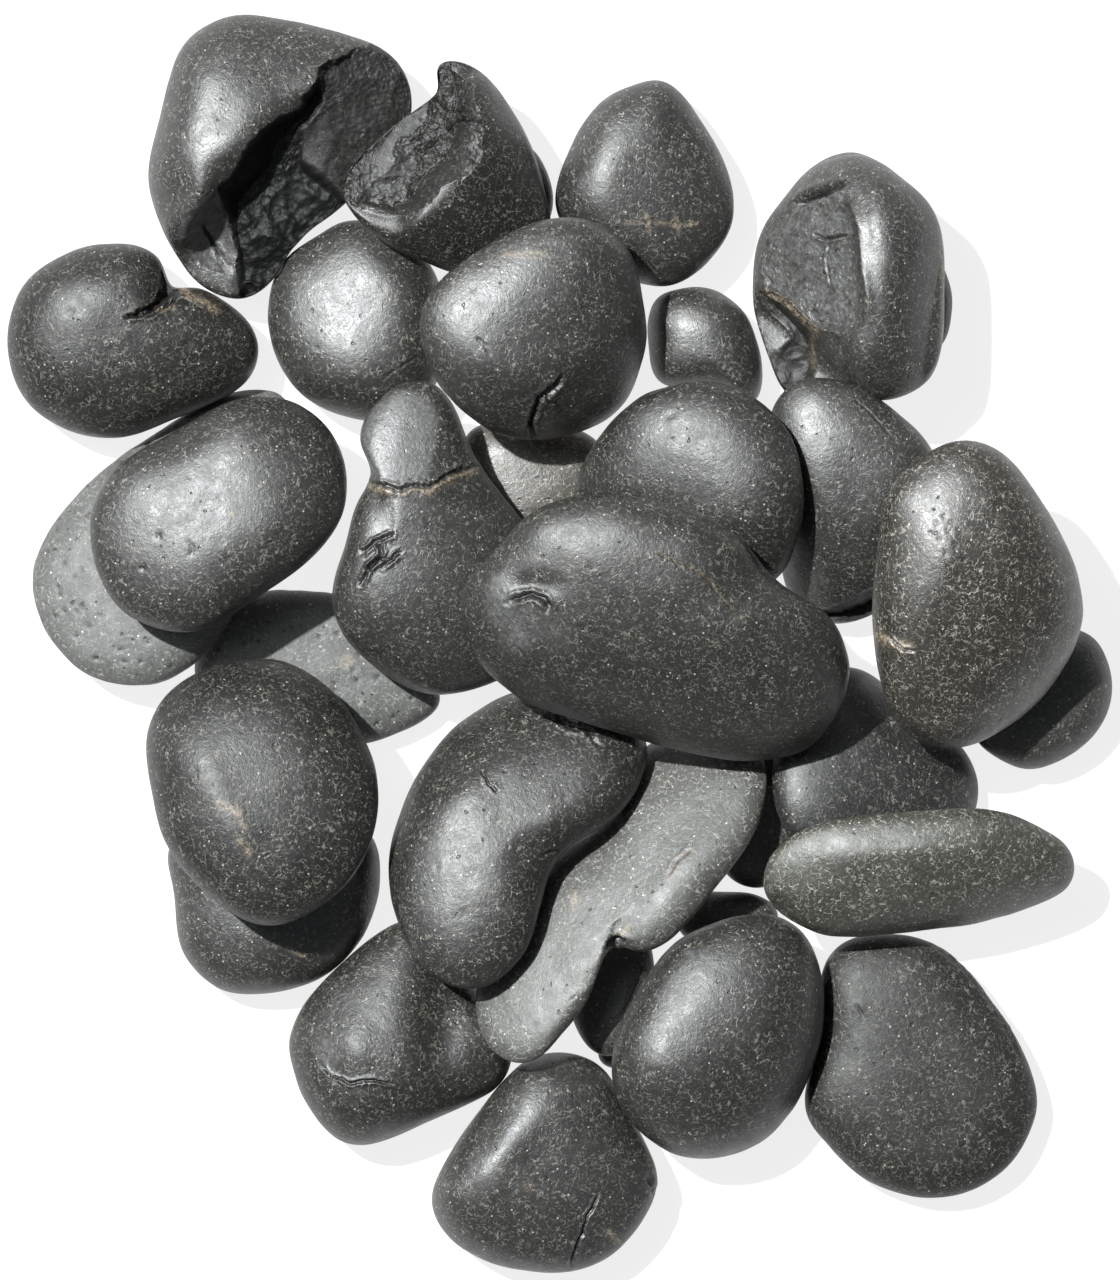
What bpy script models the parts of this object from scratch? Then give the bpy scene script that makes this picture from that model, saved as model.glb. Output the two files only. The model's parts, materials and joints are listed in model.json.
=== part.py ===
"""A loose heap of polished basalt massage stones, each one a solid of its own.

The stones are listed in the order in which they are laid, lowest first. Each is lowered onto those
before it until it lies still, so the heap closes up again by itself when any size is changed.
Metres, +Z up. The origin is on the ground, under the middle of the heap.
"""

import math

import bmesh
import bpy
import numpy as np
from mathutils import Vector
from mathutils.bvhtree import BVHTree

MM = 0.001

# Driving dimensions of the heap. Every stone's own place and sizes are in STONES, in millimetres.
SPREAD_ACROSS = 1.0  # how far apart the stones lie along X, 1 as they are listed
SPREAD_ALONG = 1.0  # the same along Y
CLEARANCE = 0.3 * MM  # between stones that touch
WORN_BASE = 0.8 * MM  # how much the lowest point of each stone is worn flat
STEEPEST_LEAN = 0.5  # rise over run of the most tilted stone
RIM_LIP = 1.0 * MM  # how far a broken face stays above the widest section

# Shape values that a stone has unless it says otherwise.
BELLY = 0.45  # height of the widest section, as a share of the thickness
ROUNDNESS = 2.3  # exponent of the upright section: 2 is an ellipse, more is boxier
CELLS = 5  # faces along each side of the cube that a stone is rounded from

# Working steps.
CURVE_STEPS = 12  # points on an outline between two that are listed
FEELER_STEP = 1.6 * MM  # spacing of the upright lines that feel for what a stone rests on
LIFT_STEP = 0.1 * MM  # how much a stone is raised at a time while it is still too near
FAR = 1.0  # longer than the heap is high

UP = Vector((0, 0, 1))
DOWN = Vector((0, 0, -1))

FINISHES = {
    "dark_polished": dict(colour=(0.040, 0.045, 0.050), roughness=0.38),
    "dark_matte": dict(colour=(0.045, 0.048, 0.050), roughness=0.60),
    "brown_speckled": dict(colour=(0.070, 0.062, 0.052), roughness=0.42),
    "olive_matte": dict(colour=(0.105, 0.105, 0.090), roughness=0.55),
    "pale_pitted": dict(colour=(0.190, 0.190, 0.180), roughness=0.75),
}

# place: middle of the outline from the middle of the heap. size: across X, along Y, and thickness.
# outline: the shape seen from above, drawn about its middle and stretched to the size.
# crown: where the top of the stone lies, from the middle. worn: see chip_off and dent_in.
STONES = {
    "sliver_stone_under_ridge": dict(
        place=(104, 103),
        size=(26, 34, 13),
        outline=[(-3, 17), (7, 15), (12, 6), (13, -3), (10, -13), (1, -17), (-9, -14), (-13, -2), (-11, 11)],
    ),
    "sliver_stone_under_hook": dict(
        place=(-16, 135),
        size=(27, 34, 12),
        outline=[(-1, 17), (8, 13), (13, 3), (13, -7), (7, -16), (-4, -17), (-12, -9), (-13, 4), (-9, 13)],
    ),
    "tiny_stone": dict(
        place=(19, -122),
        size=(15, 10, 7),
        outline=[(0, 5), (6, 3), (7, -1), (3, -5), (-4, -5), (-7, -1), (-5, 4)],
        cells=3,
    ),
    "shaded_long_stone": dict(
        place=(15, -103),
        size=(26, 40, 14),
        outline=[(2, 20), (10, 16), (13, 5), (9, -9), (2, -19), (-6, -18), (-12, -8), (-13, 4), (-7, 16)],
    ),
    "shaded_small_stone": dict(
        place=(50, -82),
        size=(30, 16, 13),
        outline=[(-2, 8), (9, 7), (15, 1), (10, -7), (-1, -8), (-12, -6), (-15, 1), (-10, 7)],
        cells=4,
    ),
    "shaded_round_stone": dict(
        place=(60, -50),
        size=(32, 45, 18),
        outline=[(2, 22), (11, 17), (16, 3), (11, -15), (0, -22), (-11, -17), (-16, 0), (-9, 16)],
    ),
    "brown_wedge_stone": dict(
        place=(-7, 46),
        size=(47, 42, 17),
        outline=[(-22, 16), (-10, 21), (8, 20), (20, 12), (23, -3), (16, -15), (2, -21), (-13, -17), (-23, -2)],
        belly=0.40,
        finish="brown_speckled",
    ),
    "small_round_stone": dict(
        place=(144, -16),
        size=(42, 42, 24),
        outline=[
            (6, 21), (14, 19), (19, 12), (21, 3), (18, -7), (11, -15), (2, -20), (-5, -21), (-13, -18),
            (-20, -12), (-21, -1), (-16, 12), (-6, 20),
        ],
        finish="dark_matte",
    ),
    "pale_slab_stone": dict(
        place=(-73, -7),
        size=(73, 46, 17),
        outline=[
            (-28, 19), (-17, 23), (1, 23), (16, 19), (28, 8), (36, -7), (34, -14), (25, -19), (14, -23),
            (1, -23), (-16, -20), (-29, -13), (-36, -4), (-35, 7),
        ],
        belly=0.40,
        roundness=2.8,
        finish="pale_pitted",
    ),
    "lower_oval_stone": dict(
        place=(-86, -77),
        size=(63, 55, 27),
        outline=[
            (-31, 16), (-29, 1), (-28, -12), (-22, -22), (-13, -28), (-4, -28), (7, -26), (16, -22),
            (24, -14), (29, -4), (31, 9), (28, 20), (16, 26), (-1, 27), (-20, 25),
        ],
        belly=0.40,
    ),
    "flat_disc_stone": dict(
        place=(108, -126),
        size=(69, 78, 24),
        outline=[
            (-12, 39), (0, 37), (9, 33), (16, 24), (24, 14), (31, 1), (34, -10), (31, -21), (23, -32),
            (12, -38), (1, -39), (-12, -36), (-23, -29), (-30, -20), (-34, -15), (-33, -3), (-30, 7),
            (-30, 19), (-28, 31), (-21, 37),
        ],
        belly=0.40,
        roundness=2.7,
        finish="dark_matte",
    ),
    "cracked_pear_stone": dict(
        place=(-5, -155),
        size=(67, 65, 36),
        outline=[
            (4, 32), (14, 30), (20, 25), (25, 15), (31, 5), (34, -4), (32, -12), (28, -19), (20, -27),
            (11, -31), (2, -32), (-7, -31), (-19, -28), (-29, -21), (-34, -13), (-31, -2), (-24, 9),
            (-17, 18), (-10, 26), (-3, 31),
        ],
        belly=0.40,
        crown=(-2, 0),
    ),
    "saddle_stone": dict(
        place=(-48, -116),
        size=(66, 67, 36),
        outline=[
            (1, 32), (-7, 28), (-17, 20), (-26, 11), (-31, 3), (-33, -4), (-31, -14), (-27, -23),
            (-20, -31), (-13, -34), (-3, -32), (9, -27), (20, -22), (28, -18), (33, -11), (33, -2),
            (27, 7), (20, 17), (12, 28), (6, 32),
        ],
        belly=0.40,
        crown=(-8, -2),
        cells=6,
        worn=[("dent", dict(at=(17, 4), reach=(9, 22), depth=4))],
    ),
    "pitted_grey_stone": dict(
        place=(-119, 32),
        size=(77, 87, 20),
        outline=[
            (25, 42), (33, 42), (38, 35), (35, 20), (28, -1), (22, -19), (16, -30), (3, -41), (-14, -43),
            (-30, -34), (-38, -18), (-36, -3), (-25, 13), (-9, 26), (6, 35), (15, 41),
        ],
        belly=0.40,
        roundness=2.7,
        finish="pale_pitted",
    ),
    "small_side_stone": dict(
        place=(43, 90),
        size=(34, 34, 24),
        outline=[
            (-4, 17), (1, 17), (10, 12), (15, 3), (17, -8), (15, -16), (8, -14), (1, -12), (-8, -12),
            (-15, -9), (-17, 0), (-17, 9), (-13, 15),
        ],
        belly=0.40,
    ),
    "dark_triangle_stone": dict(
        place=(94, -36),
        size=(61, 57, 22),
        outline=[
            (-8, 28), (-1, 26), (8, 19), (27, 5), (31, -6), (29, -16), (19, -25), (2, -28), (-16, -26),
            (-26, -19), (-30, -7), (-28, 7), (-20, 22), (-14, 27),
        ],
        belly=0.40,
        finish="dark_matte",
    ),
    "ridged_chipped_stone": dict(
        place=(86, 110),
        size=(57, 75, 42),
        outline=[
            (2, 38), (11, 33), (21, 25), (27, 14), (28, -6), (26, -25), (19, -33), (10, -36), (-5, -36),
            (-19, -34), (-23, -23), (-28, -9), (-27, 11), (-21, 22), (-13, 32), (-6, 36),
        ],
        belly=0.45,
        crown=(3, 2),
        cells=6,
        worn=[
            ("dent", dict(at=(-12, 4), reach=(13, 22), depth=5)),
            ("chip", dict(edge=((-11, -22), (-29, -4)), floor=4, fall=(0.1, 0.1), cliff=3)),
        ],
    ),
    "wedge_stone": dict(
        place=(87, 43),
        size=(50, 72, 32),
        outline=[
            (-11, 36), (-3, 35), (6, 31), (15, 24), (23, 16), (25, 4), (22, -11), (16, -22), (11, -28),
            (6, -34), (-6, -36), (-16, -32), (-21, -18), (-22, 1), (-25, 19), (-23, 28), (-19, 34),
        ],
        belly=0.40,
    ),
    "large_fractured_stone": dict(
        place=(-84, 146),
        size=(78, 84, 44),
        outline=[
            (-8, 42), (-23, 38), (-30, 30), (-36, 9), (-39, -6), (-35, -21), (-25, -37), (-8, -42),
            (6, -25), (20, -14), (35, 3), (39, 16), (34, 29), (20, 36),
        ],
        belly=0.42,
        crown=(-10, 4),
        cells=7,
        worn=[("chip", dict(edge=((27, 29), (-24, -27)), floor=9, fall=(0.05, 0.15), cliff=3))],
    ),
    "round_dome_stone": dict(
        place=(-61, 97),
        size=(53, 59, 38),
        outline=[
            (0, 30), (13, 25), (22, 16), (26, 3), (26, -10), (22, -21), (13, -28), (3, -30), (-12, -25),
            (-21, -16), (-26, -3), (-25, 10), (-19, 20), (-10, 26),
        ],
        belly=0.42,
    ),
    "rounded_triangle_stone": dict(
        place=(25, 138),
        size=(53, 61, 34),
        outline=[
            (1, 30), (9, 28), (17, 17), (23, 7), (26, -5), (24, -16), (14, -28), (2, -31), (-13, -25),
            (-25, -12), (-26, -1), (-21, 12), (-13, 24),
        ],
        belly=0.42,
    ),
    "notched_oval_stone": dict(
        place=(-128, 91),
        size=(75, 58, 36),
        outline=[
            (-7, 29), (2, 28), (9, 23), (11, 16), (15, 14), (19, 16), (28, 11), (35, 5), (37, -2),
            (35, -10), (28, -16), (15, -22), (-1, -28), (-14, -28), (-27, -22), (-35, -12), (-37, 1),
            (-35, 11), (-31, 18), (-20, 26),
        ],
        belly=0.42,
        cells=6,
    ),
    "hooked_shard_stone": dict(
        place=(-34, 141),
        size=(62, 66, 34),
        outline=[
            (0, 33), (9, 30), (17, 22), (25, 8), (29, -5), (31, -15), (28, -25), (20, -32), (7, -31),
            (-9, -25), (-19, -20), (-27, -13), (-31, -6), (-29, 0), (-22, 8), (-11, 17), (-5, 21),
            (-2, 25), (-3, 30),
        ],
        belly=0.42,
        crown=(8, -4),
        cells=7,
        worn=[("chip", dict(edge=((3, 26), (-12, -15)), floor=11, fall=(0.4, -0.3), cliff=1.6, side=-1))],
    ),
    "bar_stone": dict(
        place=(107, -68),
        size=(91, 38, 24),
        outline=[
            (-45, -2), (-43, 4), (-37, 11), (-25, 16), (-10, 18), (6, 19), (20, 19), (32, 15), (42, 8),
            (45, 2), (42, -5), (32, -10), (16, -15), (0, -17), (-16, -19), (-28, -18), (-37, -14), (-43, -8),
        ],
        finish="olive_matte",
    ),
    "long_notched_stone": dict(
        place=(18, -76),
        size=(86, 97, 20),
        outline=[
            (10, 47), (20, 49), (30, 49), (40, 46), (43, 37), (42, 27), (38, 17), (30, 6), (23, -3), (14, -12),
            (9, -15), (3, -16), (-1, -13), (-5, -17), (-7, -22), (-11, -32), (-20, -42), (-26, -48),
            (-31, -49), (-38, -45), (-42, -38), (-43, -30), (-42, -22), (-38, -13), (-33, -5), (-28, 4),
            (-21, 12), (-12, 18), (-4, 24), (0, 32), (3, 41),
        ],
        cells=7,
        finish="pale_pitted",
    ),
    "egg_stone": dict(
        place=(47, -117),
        size=(63, 72, 40),
        outline=[
            (13, 36), (21, 34), (26, 30), (30, 22), (32, 9), (30, -5), (24, -19), (17, -28), (7, -34),
            (-4, -36), (-15, -34), (-23, -28), (-30, -19), (-32, -8), (-30, 2), (-24, 13), (-16, 25),
            (-7, 31), (4, 35),
        ],
    ),
    "bean_stone": dict(
        place=(-13, -58),
        size=(76, 89, 36),
        outline=[
            (1, 44), (-10, 39), (-19, 33), (-28, 22), (-33, 12), (-37, 0), (-38, -10), (-37, -19),
            (-33, -30), (-26, -40), (-19, -44), (-14, -45), (-7, -43), (0, -37), (5, -29), (7, -19),
            (10, -10), (14, -4), (22, 1), (31, 8), (36, 16), (38, 23), (37, 33), (28, 41), (14, 44),
        ],
        crown=(-8, 4),
        cells=6,
    ),
    "smooth_oval_stone": dict(
        place=(-102, 39),
        size=(75, 69, 34),
        outline=[
            (14, 34), (24, 31), (33, 23), (37, 12), (36, -1), (29, -11), (20, -19), (9, -26), (-4, -34),
            (-17, -34), (-28, -29), (-35, -19), (-38, -4), (-35, 7), (-28, 15), (-18, 21), (-6, 28), (5, 33),
        ],
    ),
    "rust_marked_stone": dict(
        place=(-89, -44),
        size=(68, 78, 38),
        outline=[
            (-3, 39), (8, 38), (20, 30), (27, 21), (32, 11), (34, -1), (32, -14), (27, -24), (19, -32),
            (10, -37), (1, -39), (-9, -35), (-19, -27), (-27, -17), (-31, -7), (-34, 10), (-33, 21),
            (-28, 29), (-19, 35), (-12, 38),
        ],
    ),
    "waisted_stone": dict(
        place=(-37, 32),
        size=(62, 93, 34),
        outline=[
            (-5, 46), (1, 44), (6, 37), (9, 29), (16, 17), (26, 5), (31, -6), (31, -21), (27, -35),
            (18, -42), (3, -46), (-6, -45), (-14, -41), (-23, -34), (-29, -26), (-31, -17), (-29, -7),
            (-25, 5), (-23, 12), (-19, 18), (-21, 24), (-23, 30), (-20, 36), (-16, 41), (-10, 45),
        ],
        crown=(-3, -10),
        cells=6,
    ),
    "broad_dome_stone": dict(
        place=(38, 46),
        size=(67, 64, 34),
        outline=[
            (6, 32), (16, 29), (24, 23), (30, 15), (33, 3), (33, -8), (30, -19), (24, -28), (12, -32),
            (-5, -30), (-20, -23), (-30, -13), (-34, -2), (-31, 8), (-24, 19), (-14, 28), (-5, 31),
        ],
    ),
    "speckled_drop_stone": dict(
        place=(124, 15),
        size=(62, 90, 38),
        outline=[
            (-4, 45), (4, 43), (10, 39), (21, 24), (27, 13), (31, -1), (30, -13), (22, -27), (13, -36),
            (3, -42), (-5, -45), (-15, -44), (-23, -39), (-28, -28), (-31, -13), (-31, 1), (-29, 19),
            (-26, 31), (-18, 39), (-11, 43),
        ],
        finish="brown_speckled",
    ),
    "cracked_cap_stone": dict(
        place=(-8, 94),
        size=(67, 65, 36),
        outline=[
            (8, 32), (17, 31), (24, 27), (29, 20), (31, 10), (33, -1), (31, -11), (26, -22), (18, -28),
            (6, -32), (-6, -32), (-17, -27), (-26, -19), (-31, -9), (-33, -1), (-32, 7), (-26, 15),
            (-15, 23), (-4, 29),
        ],
    ),
    "belly_stone": dict(
        place=(28, 5),
        size=(114, 79, 42),
        outline=[
            (-15, 40), (1, 38), (15, 33), (25, 27), (33, 17), (40, 11), (47, 7), (53, 1), (57, -11),
            (55, -22), (50, -31), (42, -37), (33, -39), (23, -39), (11, -37), (-1, -34), (-17, -29),
            (-28, -25), (-37, -22), (-47, -15), (-53, -8), (-56, 1), (-57, 10), (-53, 17), (-46, 24),
            (-40, 32), (-34, 36), (-25, 39),
        ],
        cells=7,
    ),
}


def clear_scene():
    for item in list(bpy.data.objects):
        bpy.data.objects.remove(item, do_unlink=True)


def finish_material(name, finish):
    material = bpy.data.materials.new(name)
    material.use_nodes = True
    shader = material.node_tree.nodes["Principled BSDF"]
    shader.inputs["Base Color"].default_value = (*FINISHES[finish]["colour"], 1)
    shader.inputs["Roughness"].default_value = FINISHES[finish]["roughness"]
    shader.inputs["Metallic"].default_value = 0
    return material


def outline_curve(points, across, along):
    """A smooth closed curve through the points, anticlockwise and stretched to the two sizes."""
    corner = np.array(points, float)
    corner -= (corner.max(axis=0) + corner.min(axis=0)) / 2
    before, after, beyond = (np.roll(corner, shift, axis=0) for shift in (1, -1, -2))
    step = (np.arange(CURVE_STEPS) / CURVE_STEPS)[None, :, None]
    before, corner, after, beyond = (side[:, None, :] for side in (before, corner, after, beyond))
    curve = corner + 0.5 * step * (after - before)
    curve = curve + 0.5 * step**2 * (2 * before - 5 * corner + 4 * after - beyond)
    curve = curve + 0.5 * step**3 * (3 * corner - before - 3 * after + beyond)
    curve = curve.reshape(-1, 2)
    curve -= (curve.max(axis=0) + curve.min(axis=0)) / 2
    curve *= np.array((across, along)) / np.ptp(curve, axis=0)
    turn = np.roll(curve, -1, axis=0)
    area = (curve[:, 0] * turn[:, 1] - curve[:, 1] * turn[:, 0]).sum()
    return curve if area > 0 else curve[::-1]


def outline_reader(curve):
    """A function from a heading to the point of the curve at the same share of the way round."""
    closed = np.vstack((curve, curve[:1]))
    walked = np.concatenate(((0,), np.cumsum(np.hypot(*np.diff(closed, axis=0).T))))
    start = math.atan2(curve[0][1], curve[0][0])

    def point_at(heading):
        way = (heading - start) / math.tau % 1 * walked[-1]
        return np.interp(way, walked, closed[:, 0]), np.interp(way, walked, closed[:, 1])

    return point_at


def rounded_cube(cells):
    """A ball of evenly spread four-sided faces."""
    ball = bmesh.new()
    bmesh.ops.create_cube(ball, size=2)
    bmesh.ops.subdivide_edges(ball, edges=ball.edges[:], cuts=cells - 1, use_grid_fill=True)
    for vert in ball.verts:
        vert.co = Vector([math.tan(side * math.pi / 4) for side in vert.co]).normalized()
    return ball


def swell(body, stone):
    """Gives the ball the stone's outline, thickness and upright section."""
    across, along, thickness = (side * MM for side in stone["size"])
    point_at = outline_reader(outline_curve(stone["outline"], across, along))
    crown = np.array(stone.get("crown", (0, 0))) * MM
    under = thickness * stone.get("belly", BELLY)
    power = 2 / stone.get("roundness", ROUNDNESS)
    for vert in body.verts:
        level = math.copysign(abs(vert.co.z) ** power, vert.co.z)
        narrowing = math.hypot(vert.co.x, vert.co.y) ** power
        rim = np.array(point_at(math.atan2(vert.co.y, vert.co.x)))
        spot = crown + (rim - crown) * narrowing
        vert.co = (*spot, level * (thickness - under if level > 0 else under))
    for axis, side in enumerate((across, along)):
        reach = [vert.co[axis] for vert in body.verts]
        for vert in body.verts:
            vert.co[axis] *= side / (max(reach) - min(reach))


def chip_off(body, edge, floor, fall, cliff, side=1):
    """Breaks away what stands above a floor beyond an edge. The break climbs to the edge as a cliff."""
    first, last = (Vector(point) * MM for point in edge)
    way = (last - first).normalized()
    outward = Vector((-way.y, way.x)) * side
    for vert in body.verts:
        spot = vert.co.xy
        beyond = (spot - first).dot(outward)
        limit = floor * MM + spot.dot(Vector(fall)) - min(beyond, 0) * cliff
        vert.co.z = min(vert.co.z, max(limit, RIM_LIP))


def dent_in(body, at, reach, depth):
    """Presses a smooth hollow into the upper side."""
    for vert in body.verts:
        if vert.co.z <= 0:
            continue
        aside = (vert.co.x / MM - at[0]) / reach[0]
        ahead = (vert.co.y / MM - at[1]) / reach[1]
        vert.co.z -= depth * MM * math.exp(-(aside**2) - ahead**2)


def wear_base(body):
    """Wears the lowest point flat, so that the stone has a face to lie on."""
    base = min(vert.co.z for vert in body.verts) + WORN_BASE
    for vert in body.verts:
        vert.co.z = max(vert.co.z, base)


def stone_body(stone):
    body = rounded_cube(stone.get("cells", CELLS))
    swell(body, stone)
    for kind, values in stone.get("worn", []):
        {"chip": chip_off, "dent": dent_in}[kind](body, **values)
    wear_base(body)
    bmesh.ops.triangulate(body, faces=body.faces[:])
    bmesh.ops.recalc_face_normals(body, faces=body.faces[:])
    return body


def clearance_cloud(body, pile, place):
    """One point for each upright line through the stone: its place, and how high the stone must stand there."""
    stone = BVHTree.FromBMesh(body)
    reach = [max(abs(vert.co[axis]) for vert in body.verts) for axis in (0, 1)]
    counts = [int(side / FEELER_STEP) + 1 for side in reach]
    cloud = []
    for column in range(-counts[0], counts[0] + 1):
        for row in range(-counts[1], counts[1] + 1):
            spot = Vector((column * FEELER_STEP, row * FEELER_STEP, 0))
            under = stone.ray_cast(spot + DOWN * FAR, UP)[0]
            if under is None:
                continue
            below = pile.ray_cast(spot + place + UP * FAR, DOWN)[0] if pile else None
            ground = below.z + CLEARANCE if below else 0
            cloud.append(Vector((spot.x, spot.y, ground - under.z)))
    return cloud


def resting_lean(cloud, middle):
    """Slopes of the plane that the stone comes to rest on, which is the cloud's hull above its middle."""
    hull = bmesh.new()
    for point in cloud:
        hull.verts.new(point)
    bmesh.ops.convex_hull(hull, input=hull.verts)
    facing = BVHTree.FromBMesh(hull).ray_cast(middle + UP * FAR, DOWN)[1]
    hull.free()
    lean = Vector((-facing.x / facing.z, -facing.y / facing.z))
    return lean * min(1, STEEPEST_LEAN / max(lean.length, STEEPEST_LEAN))


def too_near(body, lift, pile, pile_points):
    """Whether the stone, raised by the lift, is nearer to the pile than the clearance."""
    points = [vert.co + lift for vert in body.verts]
    faces = [[vert.index for vert in face.verts] for face in body.faces]
    stone = BVHTree.FromPolygons(points, faces)
    if stone.overlap(pile):
        return True
    close = any(pile.find_nearest(point, CLEARANCE)[0] for point in points)
    return close or any(stone.find_nearest(point, CLEARANCE)[0] for point in pile_points)


def lay_down(body, place, pile, pile_points):
    """Leans the stone to how it comes to rest on the pile, and returns how high its middle lies."""
    cloud = clearance_cloud(body, pile, place)
    middle = sum((vert.co for vert in body.verts), Vector()) / len(body.verts)
    lean = resting_lean(cloud, Vector((middle.x, middle.y, 0)))
    for vert in body.verts:
        vert.co.z += vert.co.xy.dot(lean)
    height = max(point.z - point.xy.dot(lean) for point in cloud)
    body.verts.index_update()
    while pile and too_near(body, place + UP * height, pile, pile_points):
        height += LIFT_STEP
    return height


def add_stone(name, body, spot, material, collection):
    mesh = bpy.data.meshes.new(name)
    body.to_mesh(mesh)
    mesh.shade_smooth()
    mesh.materials.append(material)
    item = bpy.data.objects.new(name, mesh)
    item.location = spot
    collection.objects.link(item)
    return item


def build_heap():
    collection = bpy.data.collections.new("basalt_massage_stones")
    bpy.context.scene.collection.children.link(collection)
    items = []
    pile_points = []
    pile_faces = []
    pile = None
    for name, stone in STONES.items():
        place = Vector((stone["place"][0] * SPREAD_ACROSS, stone["place"][1] * SPREAD_ALONG, 0)) * MM
        body = stone_body(stone)
        spot = place + UP * lay_down(body, place, pile, pile_points)
        first = len(pile_points)
        pile_points += [vert.co + spot for vert in body.verts]
        pile_faces += [[first + vert.index for vert in face.verts] for face in body.faces]
        pile = BVHTree.FromPolygons(pile_points, pile_faces)
        material = finish_material(name, stone.get("finish", "dark_polished"))
        items.append(add_stone(name, body, spot, material, collection))
        body.free()
    lowest, highest = ([side(point[axis] for point in pile_points) for axis in (0, 1)] for side in (min, max))
    centre = Vector(((lowest[0] + highest[0]) / 2, (lowest[1] + highest[1]) / 2, 0))
    for item in items:
        item.location -= centre


clear_scene()
build_heap()
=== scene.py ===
import json
import math
import random

import bmesh
import bpy
import numpy as np
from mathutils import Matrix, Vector, noise
from mathutils.bvhtree import BVHTree


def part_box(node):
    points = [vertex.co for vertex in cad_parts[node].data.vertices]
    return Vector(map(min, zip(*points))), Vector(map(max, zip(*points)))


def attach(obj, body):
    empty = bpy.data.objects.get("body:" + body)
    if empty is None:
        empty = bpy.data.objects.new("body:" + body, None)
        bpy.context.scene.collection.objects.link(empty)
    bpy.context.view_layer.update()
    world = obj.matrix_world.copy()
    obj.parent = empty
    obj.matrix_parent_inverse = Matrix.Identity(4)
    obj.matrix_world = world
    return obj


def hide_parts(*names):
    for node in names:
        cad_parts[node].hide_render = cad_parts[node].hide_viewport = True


# A loose heap of basalt massage stones. Sizes in the dictionaries are in mm,
# and places on a stone are measured from the stone's own middle.
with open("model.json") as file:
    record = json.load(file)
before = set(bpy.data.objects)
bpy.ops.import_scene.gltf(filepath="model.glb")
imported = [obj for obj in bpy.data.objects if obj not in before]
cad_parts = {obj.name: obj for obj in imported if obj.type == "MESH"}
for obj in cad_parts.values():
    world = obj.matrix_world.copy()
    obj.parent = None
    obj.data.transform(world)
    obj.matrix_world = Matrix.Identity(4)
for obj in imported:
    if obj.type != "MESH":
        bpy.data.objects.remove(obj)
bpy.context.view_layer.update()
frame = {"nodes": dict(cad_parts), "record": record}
mm = 0.001
# worn holds real wear and, on some stones, a painted highlight; gap holds painted shade
layers = ("broken", "rust", "gap", "worn")  # kept at each corner of a stone and read by its material

bodyOf = {}
for bodyName, members in frame["record"]["behaviour"]["bodies"].items():
    for member in members:
        bodyOf[member] = bodyName

print("frame loaded:", len(bodyOf), "stones")


# materials: one basalt recipe, with a finish for each kind of stone

basalt = dict(
    dark=dict(base=(0.0098, 0.0097, 0.0085), light=(0.026, 0.0255, 0.0225), fleck=(0.36, 0.34, 0.28),
              flecks=0.62, roughness=0.43, pits=0.7),
    matteDark=dict(base=(0.0095, 0.0095, 0.0082), light=(0.025, 0.025, 0.021), fleck=(0.32, 0.31, 0.25),
                   flecks=0.6, roughness=0.50, pits=0.7),
    brown=dict(base=(0.014, 0.012, 0.009), light=(0.036, 0.031, 0.024), fleck=(0.46, 0.42, 0.34),
               flecks=0.8, roughness=0.42, pits=0.9),
    olive=dict(base=(0.020, 0.020, 0.014), light=(0.045, 0.044, 0.033), fleck=(0.42, 0.41, 0.34),
               flecks=0.9, roughness=0.48, pits=0.7),
    grey=dict(base=(0.034, 0.034, 0.029), light=(0.070, 0.070, 0.061), fleck=(0.46, 0.45, 0.39),
              flecks=0.8, roughness=0.50, pits=0.8),
    pale=dict(base=(0.060, 0.061, 0.056), light=(0.140, 0.140, 0.130), fleck=(0.55, 0.55, 0.50),
              flecks=0.6, roughness=0.6, pits=1.0),
)

# gap and pit are near-black painted shade for cracks, small holes and hollows
marks = dict(broken=((0.006, 0.006, 0.006), (0.026, 0.025, 0.023)), worn=((0.035, 0.035, 0.034), (0.15, 0.15, 0.145)),
             rust=((0.20, 0.13, 0.075), (0.36, 0.30, 0.22)), gap=(0.004, 0.004, 0.004), pit=(0.008, 0.008, 0.008))
patternSizes = dict(clouds=11, grains=1.1, longFlecks=1.9, shortFlecks=1.2, dots=2.4, patches=3.4, holes=3.1,
                    rust=0.8, gloss=4.5, waves=2.8, bend=2.6, bendBy=2.4)
bumps = dict(strength=0.6, distance=0.22, brokenShine=0.28)


class Wiring:  # short hand for laying out one material's nodes
    def __init__(self, material):
        self.nodes = material.node_tree.nodes
        self.links = material.node_tree.links

    def put(self, kind, inputs=None, **settings):
        node = self.nodes.new(kind)
        for name, value in settings.items():
            setattr(node, name, value)
        for name, value in (inputs or {}).items():
            if isinstance(value, bpy.types.NodeSocket):
                self.links.new(value, node.inputs[name])
            else:
                node.inputs[name].default_value = value
        return node

    def sums(self, operation, first, second, clamp=False):
        return self.put("ShaderNodeMath", {0: first, 1: second}, operation=operation,
                        use_clamp=clamp).outputs[0]

    def cloud(self, place, size, detail=2.0, roughness=0.5):
        made = self.put("ShaderNodeTexNoise", {"Vector": place, "Scale": 1 / (size * mm),
                                               "Detail": detail, "Roughness": roughness})
        return made.outputs["Fac"]

    def cells(self, place, size, feature="F1"):
        return self.put("ShaderNodeTexVoronoi", {"Vector": place, "Scale": 1 / (size * mm)}, feature=feature)

    def ramp(self, value, low, high, start=0.0, end=1.0):
        return self.put("ShaderNodeMapRange", {"Value": value, "From Min": low, "From Max": high,
                                               "To Min": start, "To Max": end}).outputs["Result"]

    def blend(self, share, first, second):
        made = self.put("ShaderNodeMix", data_type="RGBA")
        for socket, value in ((made.inputs[0], share), (made.inputs[6], first), (made.inputs[7], second)):
            if isinstance(value, bpy.types.NodeSocket):
                self.links.new(value, socket)
            else:
                socket.default_value = (*value, 1) if isinstance(value, tuple) else value
        return made.outputs[2]


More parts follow.
